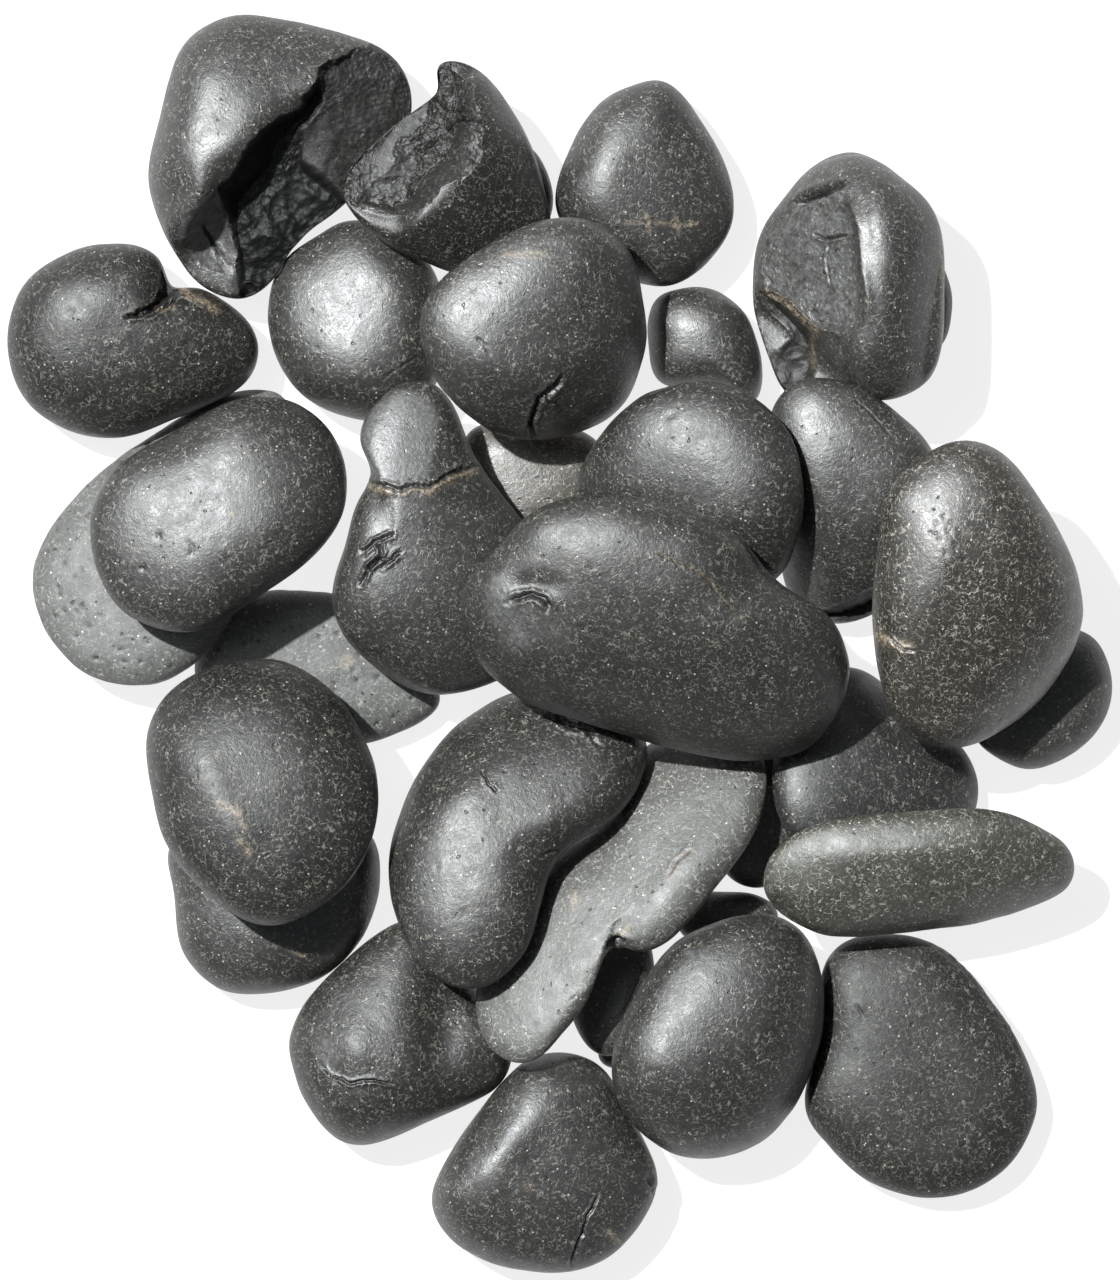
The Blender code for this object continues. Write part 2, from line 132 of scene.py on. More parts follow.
def curledFlecks(wiring, place, size, width, seed):  # short bent strokes: bits of cell borders
    moved = wiring.put("ShaderNodeVectorMath", {0: place, 1: (seed * 0.37, seed * 0.11, seed * 0.23)},
                       operation="ADD").outputs[0]
    border = wiring.cells(moved, size, "DISTANCE_TO_EDGE").outputs["Distance"]
    line = wiring.ramp(border, width, width * 0.35)
    bits = wiring.ramp(wiring.cloud(moved, size * 0.7, 1.0), 0.50, 0.60)
    return wiring.sums("MULTIPLY", line, bits, True)


def basaltMaterial(name, finish, seed, tint=1.0, shine=1.0):
    look = basalt[finish]
    material = bpy.data.materials.new(name)
    material.use_nodes = True
    wiring = Wiring(material)
    shader = wiring.nodes["Principled BSDF"]
    draw = random.Random(seed)
    turn = [draw.uniform(0, math.tau) for axis in range(3)]
    coords = wiring.put("ShaderNodeTexCoord").outputs["Object"]
    place = wiring.put("ShaderNodeMapping", {"Vector": coords, "Rotation": turn}).outputs["Vector"]
    bend = wiring.put("ShaderNodeTexNoise", {"Vector": place, "Scale": 1 / (patternSizes["bend"] * mm),
                                               "Detail": 1.0})
    shift = wiring.put("ShaderNodeVectorMath", {0: bend.outputs["Color"], 1: (0.5, 0.5, 0.5)},
                       operation="SUBTRACT").outputs[0]
    shift = wiring.put("ShaderNodeVectorMath", {0: shift, "Scale": patternSizes["bendBy"] * mm},
                       operation="SCALE").outputs[0]
    bent = wiring.put("ShaderNodeVectorMath", {0: place, 1: shift}, operation="ADD").outputs[0]

    clouds = wiring.ramp(wiring.cloud(place, patternSizes["clouds"], 4.0, 0.6), 0.32, 0.68)
    grains = wiring.ramp(wiring.cloud(place, patternSizes["grains"], 3.0, 0.7), 0.30, 0.70)
    mix = wiring.sums("ADD", wiring.sums("MULTIPLY", clouds, 0.45), wiring.sums("MULTIPLY", grains, 0.55))
    dark = tuple(side * tint for side in look["base"])
    light = tuple(side * tint for side in look["light"])
    colour = wiring.blend(mix, dark, light)

    longFlecks = curledFlecks(wiring, bent, patternSizes["longFlecks"], 0.085, seed)
    shortFlecks = curledFlecks(wiring, bent, patternSizes["shortFlecks"], 0.085, seed + 5)
    dots = wiring.cells(place, patternSizes["dots"])
    chosen = wiring.ramp(wiring.put("ShaderNodeSeparateColor", {0: dots.outputs["Color"]}).outputs[0], 0.50, 0.65)
    dotMask = wiring.sums("MULTIPLY", wiring.ramp(dots.outputs["Distance"], 0.15, 0.07), chosen, True)
    patchy = wiring.ramp(wiring.cloud(place, patternSizes["patches"], 3.0), 0.34, 0.64, 0.18, 1.0)
    strokes = wiring.sums("MAXIMUM", longFlecks, wiring.sums("MULTIPLY", shortFlecks, 0.7))
    strokes = wiring.sums("MULTIPLY", wiring.sums("MULTIPLY", strokes, patchy), look["flecks"], True)
    colour = wiring.blend(strokes, colour, tuple(side * 0.75 for side in look["fleck"]))
    colour = wiring.blend(dotMask, colour, tuple(side * 1.15 for side in look["fleck"]))

    holes = wiring.cells(bent, patternSizes["holes"])
    holeChosen = wiring.ramp(wiring.put("ShaderNodeSeparateColor", {0: holes.outputs["Color"]}).outputs[1],
                             0.62, 0.70)
    pit = wiring.sums("MULTIPLY", wiring.ramp(holes.outputs["Distance"], 0.20, 0.08), holeChosen, True)
    pit = wiring.sums("MULTIPLY", pit, look["pits"])
    # painted shade: the small procedural holes are darkened
    colour = wiring.blend(pit, colour, marks["pit"])

    broken, rust, gap, worn = (wiring.put("ShaderNodeAttribute", attribute_name=layer).outputs["Fac"]
                               for layer in layers)
    brokenColour = wiring.blend(grains, *marks["broken"])
    colour = wiring.blend(wiring.sums("MULTIPLY", broken, 0.9, True), colour, brokenColour)
    # lighter grey for real wear, and for a painted highlight where that layer lies on a lit area
    wearAndSheenColour = wiring.blend(grains, *marks["worn"])
    colour = wiring.blend(wiring.sums("MULTIPLY", worn, 0.8, True), colour, wearAndSheenColour)
    rustGrain = wiring.ramp(wiring.cloud(bent, patternSizes["rust"], 3.0, 0.7), 0.38, 0.60)
    rustMask = wiring.sums("MULTIPLY", rust, rustGrain, True)
    rustColour = wiring.blend(clouds, *marks["rust"])
    colour = wiring.blend(rustMask, colour, rustColour)
    # the gap layer: painted shade in cracks, pits and the black hollow of the fractured stone
    colour = wiring.blend(wiring.sums("MULTIPLY", gap, 1.0, True), colour, marks["gap"])
    wiring.links.new(colour, shader.inputs["Base Color"])

    gloss = wiring.ramp(wiring.cloud(place, patternSizes["gloss"], 4.0, 0.65), 0.25, 0.75,
                        look["roughness"] - 0.06, look["roughness"] + 0.10)
    gloss = wiring.sums("ADD", gloss, wiring.sums("MULTIPLY", strokes, 0.12))
    gloss = wiring.sums("ADD", gloss, wiring.sums("MULTIPLY", broken, 0.10), True)
    wiring.links.new(gloss, shader.inputs["Roughness"])
    wiring.links.new(wiring.ramp(broken, 0.0, 1.0, shine, bumps["brokenShine"]), shader.inputs["Specular IOR Level"])

    relief = wiring.sums("ADD", wiring.sums("MULTIPLY", grains, 0.35), wiring.sums("MULTIPLY", strokes, 0.55))
    relief = wiring.sums("SUBTRACT", relief, wiring.sums("MULTIPLY", pit, 1.6))
    waves = wiring.cloud(place, patternSizes["waves"], 3.0, 0.6)
    relief = wiring.sums("ADD", relief, wiring.sums("MULTIPLY", waves, 0.9))
    bump = wiring.put("ShaderNodeBump", {"Height": relief, "Strength": bumps["strength"],
                                         "Distance": bumps["distance"] * mm})
    wiring.links.new(bump.outputs["Normal"], shader.inputs["Normal"])
    return material


# the working surface of one stone: points in mm from its middle, finer near the routes listed under fine

class Skin:
    def __init__(self, stone):
        self.stone = stone
        low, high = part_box(stone["node"])
        self.middle = (low + high) / 2
        self.body = smoothBody(stone["node"], stone.get("levels", 3))
        for route, reach, times in stone.get("fine", []):
            self.refine(route, reach, times)
        for border, reach, times in stone.get("fineInside", []):
            self.refine(border, reach, times, True)
        self.body.normal_update()
        self.body.verts.ensure_lookup_table()
        self.points = np.array([vert.co - self.middle for vert in self.body.verts]) / mm
        self.normals = np.array([vert.normal for vert in self.body.verts])
        for name in layers:
            setattr(self, name, np.zeros(len(self.points)))
        self.top = self.normals[:, 2] > 0.02

    def refine(self, route, reach, times, filled=False):  # finer faces along a route, on the upper side only
        for turn in range(times):
            self.body.normal_update()
            verts = self.body.verts[:]
            spots = np.array([(vert.co - self.middle).xy for vert in verts]) / mm
            near = routeDistance(spots, route)[0] < reach * (1 if turn == 0 else 0.8)
            if filled:
                near |= within(spots, route)
            picked = {vert for vert, close in zip(verts, near) if close and vert.normal.z > 0}
            edges = [edge for edge in self.body.edges if edge.verts[0] in picked and edge.verts[1] in picked]
            bmesh.ops.subdivide_edges(self.body, edges=edges, cuts=1, use_grid_fill=True)

    def finish(self):
        stone = self.stone
        for vert, point in zip(self.body.verts, self.points):
            vert.co = Vector(point) * mm + self.middle
        for name in layers:
            layer = self.body.verts.layers.float.new(name)
            for vert, value in zip(self.body.verts, getattr(self, name)):
                vert[layer] = min(max(value, 0), 1)
        mesh = bpy.data.meshes.new(stone["name"])
        self.body.to_mesh(mesh)
        self.body.free()
        mesh.shade_smooth()
        piece = bpy.data.objects.new(stone["name"], mesh)
        bpy.context.scene.collection.objects.link(piece)
        mesh.materials.append(basaltMaterial(stone["name"], stone["finish"], stone["seed"], stone.get("tint", 1),
                                             stone.get("shine", 1)))
        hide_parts(stone["node"])
        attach(piece, bodyOf[stone["node"]])
        print(stone["name"], len(mesh.polygons), "faces")


def smoothBody(node, levels):  # the stone's plain faces, rounded so that they still pass through its corners
    cage = bmesh.new()
    cage.from_mesh(frame["nodes"][node].data)
    bmesh.ops.remove_doubles(cage, verts=cage.verts[:], dist=0.01 * mm)
    bmesh.ops.join_triangles(cage, faces=cage.faces[:], angle_face_threshold=math.pi,
                             angle_shape_threshold=math.pi)
    plain = bpy.data.meshes.new("plain")
    cage.to_mesh(plain)
    cage.free()
    plain.materials.clear()
    holder = bpy.data.objects.new("holder", plain)
    bpy.context.scene.collection.objects.link(holder)
    rounding = holder.modifiers.new("rounding", "SUBSURF")
    corners = [vert.co.copy() for vert in plain.vertices]
    for turn in range(3):
        rounding.levels = rounding.render_levels = 1 if turn < 2 else levels
        bpy.context.view_layer.update()
        smooth = bpy.data.meshes.new_from_object(holder.evaluated_get(bpy.context.evaluated_depsgraph_get()))
        if turn < 2:
            for vert, corner in zip(plain.vertices, corners):
                vert.co += (corner - smooth.vertices[vert.index].co) * 0.9
            bpy.data.meshes.remove(smooth)
    bpy.data.objects.remove(holder)
    body = bmesh.new()
    body.from_mesh(smooth)
    bpy.data.meshes.remove(smooth)
    bpy.data.meshes.remove(plain)
    return body


def routeDistance(spots, route):  # how far each spot is from a route, and how far along it, 0 to 1
    best = np.full(len(spots), 1e9)
    along = np.zeros(len(spots))
    lengths = [math.dist(first, last) for first, last in zip(route, route[1:])]
    walked, total = 0, sum(lengths) or 1
    if len(route) == 1:
        return np.hypot(*(spots - np.array(route[0])).T), along
    for first, last, length in zip(route, route[1:], lengths):
        start = np.array(first)
        way = np.array(last) - start
        share = np.clip(((spots - start) @ way) / max(way @ way, 1e-9), 0, 1)
        gap = np.hypot(*(spots - start - share[:, None] * way).T)
        nearer = gap < best
        best = np.where(nearer, gap, best)
        along = np.where(nearer, (walked + share * length) / total, along)
        walked += length
    return best, along


def grain(points, size, seed, detail=1):  # soft unevenness, about -1 to 1
    shift = Vector((seed * 3.7, seed * 1.3, seed * 2.1))
    return np.array([noise.fractal(Vector(point) / size + shift, 1.0, 2.0, detail) for point in points])


def within(spots, border):  # which spots lie inside a closed border
    inside = np.zeros(len(spots), bool)
    for (x1, y1), (x2, y2) in zip(border, border[1:] + border[:1]):
        crosses = (y1 > spots[:, 1]) != (y2 > spots[:, 1])
        side = (x2 - x1) * (spots[:, 1] - y1) / ((y2 - y1) or 1e-9) + x1
        inside ^= crosses & (spots[:, 0] < side)
    return inside


def uneven(skin, amount=0.3, size=17, fine=0.05):  # no pebble is quite regular
    seed = skin.stone["seed"]
    swell = grain(skin.points, size, seed, 2) * amount + grain(skin.points, 4.5, seed + 9) * fine
    skin.points += skin.normals * swell[:, None]


def crack(skin, route, width=0.5, depth=0.9, lip=0.0, dark=1.0, wander=0.5):
    # a groove along a route that strays a little from it, with a raised lip at each side; the groove is darkened with
    # painted shade, as much as dark asks
    near = (routeDistance(skin.points[:, :2], route)[0] < width * 5 + wander * 2) & skin.top
    chosen = np.where(near)[0]
    picked = skin.points[chosen]
    seed = skin.stone["seed"] + len(route)
    spots = picked[:, :2] + wander * np.c_[grain(picked, 2.3, seed, 2), grain(picked, 2.3, seed + 40, 2)]
    gap, along = routeDistance(spots, route)
    taper = np.clip(np.minimum(along, 1 - along) * 5 + 0.25, 0, 1)
    groove = np.exp(-(gap / width) ** 2) * taper
    edge = np.exp(-((gap - width * 2) / width) ** 2) * taper
    skin.points[chosen] -= skin.normals[chosen] * (groove * depth - edge * lip)[:, None]
    skin.gap[chosen] = np.maximum(skin.gap[chosen], np.clip(groove * 1.5 - 0.35, 0, 1) * dark)


def ridge(skin, route, width, height, taper=4):  # a soft crest along a route
    gap, along = routeDistance(skin.points[:, :2], route)
    ends = np.clip(np.minimum(along, 1 - along) * taper + 0.1, 0, 1)
    rise = np.exp(-(gap / width) ** 2) * ends * height * skin.top
    skin.points += skin.normals * rise[:, None]


def dent(skin, at, reach, depth):  # a soft hollow
    across = (skin.points[:, 0] - at[0]) / reach[0]
    along = (skin.points[:, 1] - at[1]) / reach[1]
    fall = np.exp(-across ** 2 - along ** 2) * depth * skin.top
    skin.points -= skin.normals * fall[:, None]


def lower(skin, hinge, way, reach, share):  # the top sinks beyond a line, more and more, and the rim stays
    way = np.array(way) / math.hypot(*way)
    beyond = np.clip(((skin.points[:, :2] - np.array(hinge)) @ way) / reach, 0, 1)
    sunk = beyond ** 1.5 * share * np.maximum(skin.points[:, 2], 0)
    skin.points[:, 2] -= sunk


def sheenAt(skin, at, most=0.6, soft=9.0, slope=(0.21, -0.18)):
    # sinks one side of the top, so that at a place it faces the light's way and the sheen lies there
    near = (np.hypot(*(skin.points[:, :2] - np.array(at)).T) < 6) & skin.top
    tilt = skin.normals[near].mean(axis=0)
    change = np.array(slope) + tilt[:2] / tilt[2]
    turn = math.hypot(*change)
    way = -change / turn
    ahead = (skin.points[:, :2] - np.array(at)) @ way + 8
    ahead = (ahead + np.sqrt(ahead ** 2 + soft ** 2)) / 2 - soft * 0.12
    ahead = np.maximum(ahead, 0)
    reach = ahead[skin.top].max()
    share = min(turn * reach / skin.points[near, 2].mean(), most)
    skin.points[:, 2] -= ahead / reach * share * np.maximum(skin.points[:, 2], 0)


def pits(skin, spots, width=0.6, depth=0.6):  # small holes, darkened with painted shade
    for spot in spots:
        gap = np.hypot(*(skin.points[:, :2] - np.array(spot)).T)
        hole = np.exp(-(gap / width) ** 2) * skin.top
        skin.points -= skin.normals * (hole * depth)[:, None]
        skin.gap = np.maximum(skin.gap, np.clip(hole * 1.4 - 0.4, 0, 1))


def stain(skin, route, width, strength=1.0):  # tan mineral left on the stone
    gap = routeDistance(skin.points[:, :2], route)[0]
    near = np.where((gap < width * 3) & skin.top)[0]
    rough = grain(skin.points[near], 1.4, skin.stone["seed"] + 70, 3)
    mask = np.exp(-(gap[near] / width) ** 2) * (0.75 + 0.9 * rough) * strength
    skin.rust[near] = np.maximum(skin.rust[near], np.clip(mask * 1.4, 0, 1))


def scallops(spots, size, depth, seed):  # shallow bowls that meet in sharp ridges
    draw = random.Random(seed)
    low, high = spots.min(axis=0) - size, spots.max(axis=0) + size
    height = np.full(len(spots), 1e9)
    for column in range(int((high[0] - low[0]) / size) + 1):
        for row in range(int((high[1] - low[1]) / size) + 1):
            centre = low + np.array((column + draw.uniform(-0.1, 1.1), row + draw.uniform(-0.1, 1.1))) * size
            slope = np.array((draw.uniform(-1, 1), draw.uniform(-1, 1))) * depth / size
            away = spots - centre
            bowl = draw.uniform(0, 0.8) * depth + away @ slope + (away ** 2).sum(axis=1) / size ** 2 * depth
            height = np.minimum(height, bowl)
    return height - height.mean()


def breakAway(skin, border, plane, wall, bowls, fine=0.12, keep=2.5, rough=1.0, ragged=0.7):
    # a piece is gone inside the border, down to a plane: its height at the stone's middle and its two slopes
    seed = skin.stone["seed"]
    wobble = ragged * np.c_[grain(skin.points, 3.0, seed + 3, 3), grain(skin.points, 3.0, seed + 4, 3)]
    chosen = np.where(within(skin.points[:, :2] + wobble, border) & skin.top)[0]
    picked = skin.points[chosen]
    for vert, point in zip(skin.body.verts, skin.points):
        vert.co = Vector(point) * mm + skin.middle
    tree = BVHTree.FromBMesh(skin.body)
    inside = routeDistance(picked[:, :2] + wobble[chosen], border + border[:1])[0]
    relief = grain(picked, 1.1, seed + 8, 3) * fine
    for size, height in bowls:
        relief += scallops(picked[:, :2] + wobble[chosen] * 0.6, size, height, seed + int(size * 10))
    ground = plane[0] + picked[:, 0] * plane[1] + picked[:, 1] * plane[2] + relief
    level = np.minimum(picked[:, 2], np.maximum(ground, picked[:, 2] - inside * wall + relief * 0.3))
    for spot, index in enumerate(chosen):
        start = skin.body.verts[index].co - Vector((0, 0, 0.05 * mm))
        under = tree.ray_cast(start, Vector((0, 0, -1)))[3]
        level[spot] = max(level[spot], picked[spot, 2] - max((under or 0) / mm - keep, 0) * 0.85)
    cut = picked[:, 2] - level
    skin.points[chosen, 2] = level
    skin.broken[chosen] = np.maximum(skin.broken[chosen], np.clip(cut * 1.2, 0, 1) * rough)


def paint(skin, layer, border, strength, soft=3.0, patchy=0.6):  # colours an area, fading at its edge
    spots = skin.points[:, :2]
    inside = within(spots, border) & skin.top
    gap = routeDistance(spots, border + border[:1])[0]
    blotch = 1 + patchy * grain(skin.points, 2.4, skin.stone["seed"] + 31, 2)
    mask = np.where(inside, np.clip(gap / soft, 0, 1), 0) * strength * blotch
    setattr(skin, layer, np.maximum(getattr(skin, layer), np.clip(mask, 0, 1)))


# the stones, from the top of the heap down

belly = dict(node="belly_stone", name="belly", finish="dark", seed=33, tint=1.1, shine=0.65,
             fine=[([(-49, 16), (-45, 8), (-42, 1)], 5, 1),
                   ([(-41.5, 8.8), (-37, 9.7), (-32.5, 8.2), (-31.9, 6.1)], 6, 2),
                   ([(0.5, 22.3), (8.9, 16.6), (9.5, 18.7), (15.5, 14.2), (18.5, 9.7), (26, 2.2)], 3, 2),
                   ([(-28, 2.2), (-10, -3.8)], 2.5, 1)],
             fold=[(-44, 7.5), (-41.5, 8.8), (-37, 9.7), (-33.2, 8.6), (-31.6, 6.1), (-32.6, 4.6)],
             flaked=[(-50, 17), (-44, 18), (-40, 10), (-41, 2), (-46, -2), (-52, 3)],
             seams=[[(0.5, 22.3), (5, 20), (8.9, 16.6)],
                    [(9.5, 18.7), (15.5, 14.2), (18.5, 9.7), (22, 6), (26, 2.2)]])
skin = Skin(belly)
uneven(skin, amount=0.35)
sheenAt(skin, (-14, -4), most=0.32)
dent(skin, (27.5, 16), reach=(9, 7), depth=1.6)  # hollow beside the narrow end
dent(skin, (-36, 12.5), reach=(7, 3.4), depth=1.3)
ridge(skin, [(-47, -4), (-42, -5), (-34, -8)], width=5, height=2.2, taper=3)  # knob under the fold
crack(skin, belly["fold"], width=0.8, depth=1.2, lip=0.45)
for seam in belly["seams"]:
    crack(skin, seam, width=0.35, depth=0.35, lip=0.15, dark=0.3)
    stain(skin, seam, width=0.45, strength=0.5)
crack(skin, [(-28, 2.2), (-19, -1.2), (-10, -3.8)], width=0.4, depth=0.3, lip=0, dark=0.35)
paint(skin, "worn", belly["flaked"], strength=0.8, soft=2.0, patchy=0.8)
# painted highlight: a lighter band across the left half, where the sheen lies
paint(skin, "worn", [(-54, 8), (-48, 14), (-30, 8), (-20, 0), (-24, -10), (-44, -10), (-52, -2)], strength=0.45,
      soft=8, patchy=0.8)
pits(skin, [(-20, 18), (36, -14), (4, -22), (-6, 10)], width=0.6, depth=0.5)
skin.finish()

cap = dict(node="cracked_cap_stone", name="cracked_cap", finish="dark", seed=32, tint=1.1,
           split=[(8.6, -14.2), (6.5, -17.2), (2, -20.2), (-0.1, -25.3), (-1, -28.3), (0.5, -32.8)],
           small=[(-16.6, -2.8), (-14.5, -5), (-13, -7.9)])
cap["fine"] = [(cap["split"], 5, 2), (cap["small"], 2.5, 1)]
skin = Skin(cap)
uneven(skin, amount=0.3)
sheenAt(skin, (0, -11), most=0.55)  # the crown lies near the lower rim
ridge(skin, [(-26.5, 0), (-18, -8), (-8, -13), (4, -14), (15, -8), (22, 4)], width=7, height=1.4)
crack(skin, cap["split"], width=0.75, depth=1.7, lip=0.35, dark=1.0, wander=0.7)
crack(skin, [(3.5, -20.8), (6.5, -22.5), (8.5, -25)], width=0.35, depth=0.6, lip=0.1, dark=0.7)
crack(skin, cap["small"], width=0.35, depth=0.5, lip=0.1, dark=0.8)
stain(skin, [(-8.5, 21.8), (-2, 22.6), (3.5, 21.8)], width=0.9, strength=0.7)
pits(skin, [(14, 6), (-18, 12), (19, -12)], width=0.6, depth=0.5)
skin.finish()

drop = dict(node="speckled_drop_stone", name="speckled_drop", finish="brown", seed=31, tint=0.8,
            crescent=[(-26.5, -12.8), (-25, -14.4), (-22, -16.6), (-19, -16.8)])
drop["fine"] = [(drop["crescent"], 4, 2), ([(-14.5, 22), (-9, 16), (-4, 10)], 6, 1)]
skin = Skin(drop)
uneven(skin, amount=0.4)
sheenAt(skin, (-9, 11), most=0.3, soft=6)
ridge(skin, [(-4, 32), (-8, 20), (-12, 8), (-16, -6)], width=7, height=1.0, taper=2)
crack(skin, drop["crescent"], width=0.5, depth=0.8, lip=0.45)
stain(skin, [(-29.5, -12.3), (-25, -15), (-21, -15.8)], width=1.6, strength=0.9)
stain(skin, [(-3.1, 18)], width=0.9, strength=1.0)
pits(skin, [(-13, 21), (-10.5, 23), (-9, 18.5), (-12, 16), (-7, 14), (-5.5, 19), (-10, 12), (-4.5, 10.5),
            (-14.5, 18), (-8, 21), (6, 24), (10, 8), (-2, -4), (4, -22)], width=0.55, depth=0.6)
skin.finish()

dome = dict(node="broad_dome_stone", name="broad_dome", finish="dark", seed=30, tint=0.9, shine=0.7,
            fine=[([(-19.4, 3.2), (-20, -1.3)], 2.5, 1)])
skin = Skin(dome)
uneven(skin, amount=0.3)
sheenAt(skin, (-2, 6), most=0.5)
dent(skin, (-4, 6), reach=(17, 15), depth=1.2)
crack(skin, [(-19.4, 3.2), (-19.2, 1), (-20, -1.3)], width=0.4, depth=0.5, lip=0.1)
pits(skin, [(1, 17.6), (16.9, -6.4), (-6, 22)], width=0.7, depth=0.6)
skin.finish()

waisted = dict(node="waisted_stone", name="waisted", finish="dark", seed=29, tint=1.1,
               head=[(-20, 40), (-10, 45), (-2, 43), (1.5, 36), (0.5, 28), (-2, 19), (-4, 15.6), (-11, 15.4),
                     (-19.7, 17), (-23, 24), (-23.5, 31)],
               rough=[(-3, 19), (0, 27.5), (6, 31), (13, 22), (11.5, 18.5), (1, 17.2)],
               lip=[(-19.7, 16.8), (-15, 15.2), (-11, 14.8), (-6, 15.6), (-2, 15.1), (1, 17.4), (6, 19.6),
                    (11.5, 21.4)],
               cracks=[[(-22.7, -13.7), (-19.4, -8.3), (-16.4, -4.7), (-17, -0.8)],
                       [(-22.4, -4.4), (-17.6, -0.8), (-12.8, 1.3)], [(-15.5, -8.3), (-12.4, -5.2), (-10.4, -3.8)],
                       [(-21, -9.5), (-18, -6.5), (-14.6, -5.8)]])
waisted["fine"] = [(waisted["lip"], 5, 1), ([(-20, -13), (-16, -1)], 8, 2)]
waisted["fineInside"] = [(waisted["head"], 2, 1), (waisted["rough"], 2, 1)]
skin = Skin(waisted)
uneven(skin, amount=0.3)
sheenAt(skin, (-16, -6), most=0.45)
breakAway(skin, waisted["head"], plane=(17.4, 0.03, -0.075), wall=1.4, bowls=[(8, 0.7), (3.2, 0.25)], fine=0.08,
          rough=0.0)
breakAway(skin, waisted["rough"], plane=(14.5, -0.28, -0.02), wall=1.6, bowls=[(4.5, 1.3), (1.9, 0.5)], fine=0.2)
crack(skin, waisted["lip"], width=0.6, depth=0.9, lip=0.5, dark=0.8, wander=0.7)
stain(skin, [(x, y - 1.3) for x, y in waisted["lip"]], width=0.9, strength=0.75)
for route in waisted["cracks"]:
    crack(skin, route, width=0.55, depth=1.0, lip=0.5, dark=1.0, wander=0.6)
paint(skin, "worn", waisted["head"], strength=0.9, soft=1.5, patchy=0.4)
skin.finish()

rusty = dict(node="rust_marked_stone", name="rust_marked", finish="dark", seed=28, tint=0.75, shine=0.6,
             fine=[([(-12, -3), (-5, -8), (-4, -18)], 5, 1), ([(10.4, -1.9)], 2, 1)])
skin = Skin(rusty)
uneven(skin, amount=0.3)
sheenAt(skin, (-18, 19), most=0.3, soft=6)
ridge(skin, [(-20, 22), (-16, 6), (-8, -12), (-2, -26)], width=6, height=0.9, taper=2)
for route in ([(-12.4, -3.4), (-10, -4.2), (-7, -6.4)], [(-7, -4.6), (-6.4, -8), (-4.6, -10.3)],
              [(-6.1, -14.2), (-4.2, -16), (-3.4, -18.4)]):
    stain(skin, route, width=0.8, strength=1.2)
crack(skin, [(-12.6, -4), (-9, -4.9), (-7, -5.8)], width=0.3, depth=0.4, lip=0.1, dark=0.6)
paint(skin, "worn", [(9.4, -3.4), (11.2, -2.6), (11.6, -0.4), (10, -0.9)], strength=1.0, soft=0.5, patchy=0)
pits(skin, [(-20, 6), (12, 20), (16, -14)], width=0.6, depth=0.5)
skin.finish()

smooth = dict(node="smooth_oval_stone", name="smooth_oval", finish="dark", seed=27, tint=1.0, shine=0.8,
              fine=[([(-9, -7.8), (-7.5, -12.9)], 3, 1), ([(-22, -16), (-17, -7)], 3, 1)])
skin = Skin(smooth)
uneven(skin, amount=0.25)
sheenAt(skin, (2, 8), most=0.4)
dent(skin, (-2, 8), reach=(22, 15), depth=1.4)
crack(skin, [(-9, -7.8), (-7.8, -10), (-7.5, -12.9)], width=0.4, depth=0.6, lip=0.15)
stain(skin, [(3.9, -0.3)], width=1.0, strength=1.0)
pits(skin, [(-17.7, -6.6), (2.4, -13.8), (-22.5, -16.2), (0, -7.8), (-12, 2)], width=0.7, depth=0.7)
skin.finish()

bean = dict(node="bean_stone", name="bean", finish="dark", seed=26, tint=0.85, shine=0.7,
            fine=[([(-10.4, 20.2), (-5.6, 14.2)], 3, 2), ([(7, -4.7), (13, -3.2)], 3, 1),
                  ([(8.5, 36.7), (25, 27.7)], 4, 1)])
skin = Skin(bean)
uneven(skin, amount=0.35)
sheenAt(skin, (-16, 15), most=0.4, soft=6)
ridge(skin, [(-27, -4), (-22, 9), (-10, 18), (4, 25)], width=7, height=1.2, taper=2)
crack(skin, [(-10.4, 20.2), (-8.6, 16.6), (-5.6, 14.2)], width=0.4, depth=0.6, lip=0.2)
crack(skin, [(7, -4.7), (10, -3.6), (13, -3.2)], width=0.5, depth=0.5, lip=0.2, dark=0.5)
crack(skin, [(8.5, 36.7), (15, 34), (21, 32.5), (25, 27.7)], width=0.7, depth=0.8, lip=0.5, dark=0.7, wander=1.4)
pits(skin, [(-24, -8), (-16, -22), (14, 12), (24, 18), (-28, 4), (6, 10)], width=0.6, depth=0.5)
skin.finish()

egg = dict(node="egg_stone", name="egg", finish="dark", seed=25, tint=0.95, shine=0.8,
           fine=[([(-11, 26.7), (1, 20.7)], 3, 1)])
skin = Skin(egg)
uneven(skin, amount=0.4)
sheenAt(skin, (-12, 2), most=0.3, soft=6)
dent(skin, (-6, 3), reach=(17, 19), depth=1.6)
paint(skin, "worn", [(-12, 26), (-6, 28), (2, 22), (-1, 19), (-8, 22)], strength=0.6, soft=1.5, patchy=1.4)
pits(skin, [(12, 16), (-8, -8), (6, -20), (18, -2)], width=0.6, depth=0.5)
skin.finish()

notchedLong = dict(node="long_notched_stone", name="long_notched", finish="grey", seed=24, tint=0.95,
                   fine=[([(21, 14.2), (14.1, 6.7)], 3, 1), ([(2.4, -8.3), (0.6, -11.3)], 2.5, 1),
                         ([(-6, -16), (4, -14)], 3, 1)])
skin = Skin(notchedLong)
uneven(skin, amount=0.35)
sheenAt(skin, (16, 4), most=0.3)
ridge(skin, [(32, 26), (24, 13), (12, 1), (3, -7)], width=5, height=0.9, taper=2)
crack(skin, [(21, 14.2), (17, 11.4), (14.1, 6.7)], width=0.4, depth=0.4, lip=0.15, dark=0.5)
stain(skin, [(21, 14.2), (17, 11.4), (14.1, 6.7)], width=0.6, strength=0.9)
stain(skin, [(2.4, -8.3), (0.6, -11.3)], width=0.7, strength=1.0)
stain(skin, [(-13.5, 0.7), (-14.4, -3.2)], width=0.8, strength=1.1)
